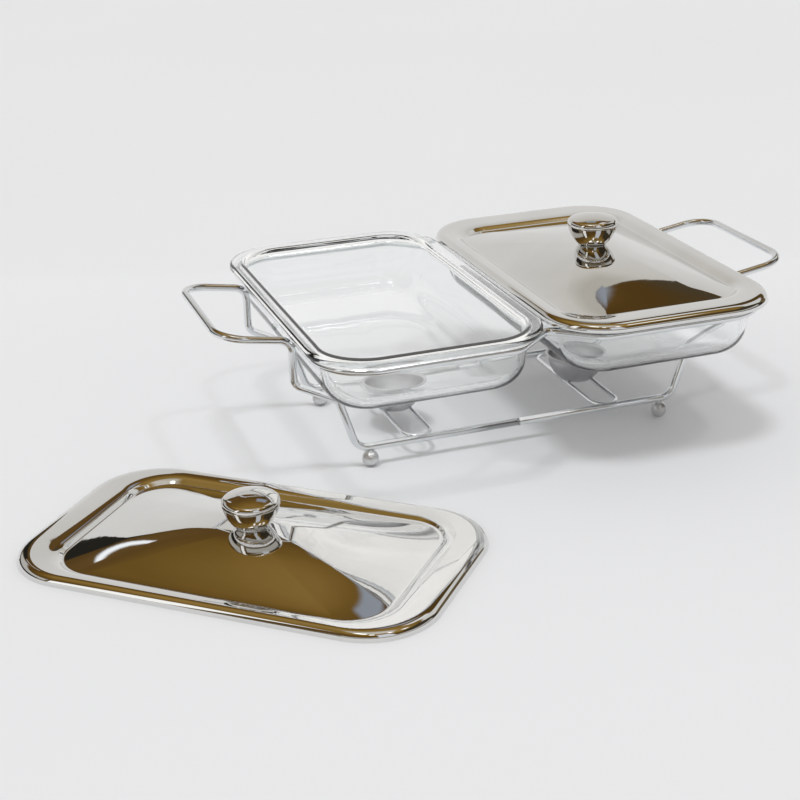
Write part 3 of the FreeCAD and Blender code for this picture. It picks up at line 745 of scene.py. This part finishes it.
# Headings are degrees from the rear, clockwise from above, and rises are degrees above the level.
# What mirrors see of the room: colours by height, from 20 degrees below the level to straight up
ROOM_LOW, ROOM_HIGH = -20.0, 90.0
ROOM = [
    (0.0, (0.10, 0.09, 0.07)), (0.12, (0.17, 0.145, 0.10)), (0.26, (0.14, 0.105, 0.055)),
    (0.36, (0.10, 0.060, 0.019)), (0.55, (0.118, 0.066, 0.018)), (0.68, (0.185, 0.108, 0.024)),
    (0.82, (0.29, 0.185, 0.05)), (0.91, (0.31, 0.21, 0.07)), (0.955, (0.58, 0.55, 0.50)),
    (1.0, (0.66, 0.65, 0.62)),
]
ROOM_CLOUDS = [(0.35, (0.78, 0.74, 0.62)), (0.65, (1.15, 1.12, 1.12))]
DEEP_SHADE = (0.020, 0.018, 0.014)
PALE_WALL = (0.50, 0.49, 0.46)
COOL_WALL = (0.72, 0.75, 0.80)
# Dark and bright areas in it: lowest and highest rise, first and last heading, soft margin, colour
PATCHES = (
    (-12.0, 15.0, -82.0, -8.0, 3.0, DEEP_SHADE),
    (12.0, 34.0, -96.0, -9.0, 4.0, (0.52, 0.51, 0.48)),
    (-12.0, 56.0, 78.0, 140.0, 5.0, (0.050, 0.040, 0.025)),
    (24.0, 52.0, 46.0, 80.0, 4.0, (0.70, 0.70, 0.68)),
    (3.0, 24.0, 92.0, 186.0, 4.0, PALE_WALL),
    (3.0, 24.0, -186.0, -118.0, 4.0, PALE_WALL),
    (10.0, 28.0, -10.0, 1.5, 1.2, DEEP_SHADE),
    (27.5, 36.5, -5.6, -4.1, 0.6, (1.1, 1.15, 1.2)),
    (26.0, 37.0, 19.0, 42.0, 4.0, (0.070, 0.053, 0.030)),
    (38.5, 48.0, 18.5, 31.5, 2.5, (0.30, 0.33, 0.38)),
    (2.0, 46.0, -112.0, -99.0, 1.5, (1.15, 1.15, 1.12)),
    (41.0, 57.0, 36.0, 50.0, 2.0, (0.80, 0.80, 0.78)),
    (18.0, 60.0, 158.0, 183.0, 4.0, COOL_WALL),
    (18.0, 60.0, -183.0, -172.0, 4.0, COOL_WALL),
    (58.0, 70.0, -172.0, -158.0, 2.0, (1.6, 1.6, 1.55)),
    (60.0, 67.0, 88.0, 112.0, 1.5, (1.2, 1.2, 1.1)),
    (70.5, 81.5, -150.0, -104.0, 2.5, (2.2, 2.2, 2.1)),
    (66.5, 73.5, 129.0, 147.0, 1.5, (2.4, 2.4, 2.4)),
)
# Strength of the plain room: straight up, what the sides add, and what the eye sees more through glass
PLAIN_TOP, PLAIN_SIDES, PLAIN_THROUGH = 0.60, 0.20, 0.25


def soft_sun(name, heading, rise, strength, spread_angle):
    lamp = bpy.data.lights.new(name, "SUN")
    lamp.energy = strength
    lamp.angle = math.radians(spread_angle)
    lamp.color = (0.96, 0.985, 1.0)
    holder = show(bpy.data.objects.new(name, lamp))
    turn, tilt = math.radians(heading), math.radians(rise)
    toward = Vector((math.sin(turn) * math.cos(tilt), math.cos(turn) * math.cos(tilt), math.sin(tilt)))
    holder.rotation_mode = "QUATERNION"
    holder.rotation_quaternion = (-toward).to_track_quat("-Z", "Y")
    holder.visible_camera = False
    holder.visible_glossy = False


def make_world():
    """An even pale room. Mirrors see it as a warm dark room with a few bright soft boxes."""
    world = bpy.data.worlds.new("room")
    bpy.context.scene.world = world
    world.use_nodes = True
    nodes, links = world.node_tree.nodes, world.node_tree.links
    nodes.clear()

    def math_node(operation, *contents):
        node = add(nodes, "ShaderNodeMath", set_operation=operation)
        for index, content in enumerate(contents):
            if isinstance(content, (int, float)):
                node.inputs[index].default_value = content
            else:
                links.new(content, node.inputs[index])
        return node.outputs[0]

    def step_up(source, low, high):
        node = add(
            nodes, "ShaderNodeMapRange", set_interpolation_type="SMOOTHSTEP", From_Min=low, From_Max=high)
        links.new(source, node.inputs["Value"])
        return node.outputs["Result"]

    def mixed(factor, first, second, blend="MIX"):
        node = add(nodes, "ShaderNodeMix", set_data_type="RGBA", set_blend_type=blend)
        for socket, content in ((0, factor), (6, first), (7, second)):
            if isinstance(content, tuple):
                node.inputs[socket].default_value = (*content, 1)
            elif isinstance(content, float):
                node.inputs[socket].default_value = content
            else:
                links.new(content, node.inputs[socket])
        return node.outputs[2]

    way = nodes.new("ShaderNodeTexCoord").outputs["Generated"]
    split = nodes.new("ShaderNodeSeparateXYZ")
    links.new(way, split.inputs[0])
    x, y, z = split.outputs
    rise = math_node("MULTIPLY", math_node("ARCSINE", z), 180 / math.pi)
    heading = math_node("MULTIPLY", math_node("ARCTAN2", x, y), 180 / math.pi)

    def between(source, low, high, soft):
        return math_node("MULTIPLY", step_up(source, low, low + soft), step_up(source, high, high - soft))

    room = ramp(nodes, links, step_up(rise, ROOM_LOW, ROOM_HIGH), ROOM)
    clouds = ramp(nodes, links, noise(nodes, links, way, 2.6, 2.0), ROOM_CLOUDS)
    colour = mixed(1.0, room, clouds, "MULTIPLY")
    for low, high, left, right, soft, shine in PATCHES:
        inside = math_node("MULTIPLY", between(rise, low, high, soft), between(heading, left, right, soft))
        colour = mixed(inside, colour, shine)

    # Mirrors in front of any glass see the room above. Everything else sees the plain room.
    rays = nodes.new("ShaderNodeLightPath")
    before_glass = math_node("LESS_THAN", rays.outputs["Transmission Depth"], 0.5)
    mirrored = math_node("MULTIPLY", rays.outputs["Is Glossy Ray"], before_glass)
    seen = nodes.new("ShaderNodeBackground")
    links.new(colour, seen.inputs["Color"])
    plain = add(nodes, "ShaderNodeBackground", Color=(1.0, 0.985, 0.965, 1))
    direct = math_node("LESS_THAN", rays.outputs["Diffuse Depth"], 0.5)
    through = math_node("MULTIPLY", rays.outputs["Is Transmission Ray"], direct)
    side_glow = math_node("MULTIPLY_ADD", step_up(rise, 50.0, 20.0), PLAIN_SIDES, PLAIN_TOP)
    links.new(math_node("MULTIPLY_ADD", through, PLAIN_THROUGH, side_glow), plain.inputs["Strength"])
    mix = nodes.new("ShaderNodeMixShader")
    links.new(mirrored, mix.inputs["Fac"])
    links.new(plain.outputs[0], mix.inputs[1])
    links.new(seen.outputs[0], mix.inputs[2])
    output = nodes.new("ShaderNodeOutputWorld")
    links.new(mix.outputs[0], output.inputs["Surface"])


soft_sun("left_light", heading=-127.0, rise=76.0, strength=0.76, spread_angle=11.5)
soft_sun("right_light", heading=138.0, rise=70.0, strength=0.25, spread_angle=6.0)
make_world()
bpy.context.scene.view_settings.view_transform = "Standard"


# ---------------------------------------------------------------- camera

CAMERA_PLACE = (-0.33361, -0.89646, 0.44297)
CAMERA_LENS = 72.11
CAMERA_TURN, CAMERA_TILT, CAMERA_ROLL = -19.275, 22.547, 1.428  # degrees: round the set, down, sideways


def make_camera():
    lens = bpy.data.cameras.new("camera")
    lens.sensor_width = 36.0
    lens.sensor_fit = "HORIZONTAL"
    lens.lens = CAMERA_LENS
    lens.clip_start = 0.01
    lens.clip_end = 50.0
    camera = show(bpy.data.objects.new("camera", lens))
    turn, tilt, roll = (math.radians(angle) for angle in (CAMERA_TURN, CAMERA_TILT, CAMERA_ROLL))
    back = Vector((math.sin(turn) * math.cos(tilt), -math.cos(turn) * math.cos(tilt), math.sin(tilt)))
    level = Vector((math.cos(turn), math.sin(turn), 0))
    down = (-back).cross(level)
    right = level * math.cos(roll) + down * math.sin(roll)
    below = down * math.cos(roll) - level * math.sin(roll)
    facing = Matrix((right, -below, back)).transposed().to_4x4()
    camera.matrix_world = Matrix.Translation(CAMERA_PLACE) @ facing
    bpy.context.scene.camera = camera


make_camera()
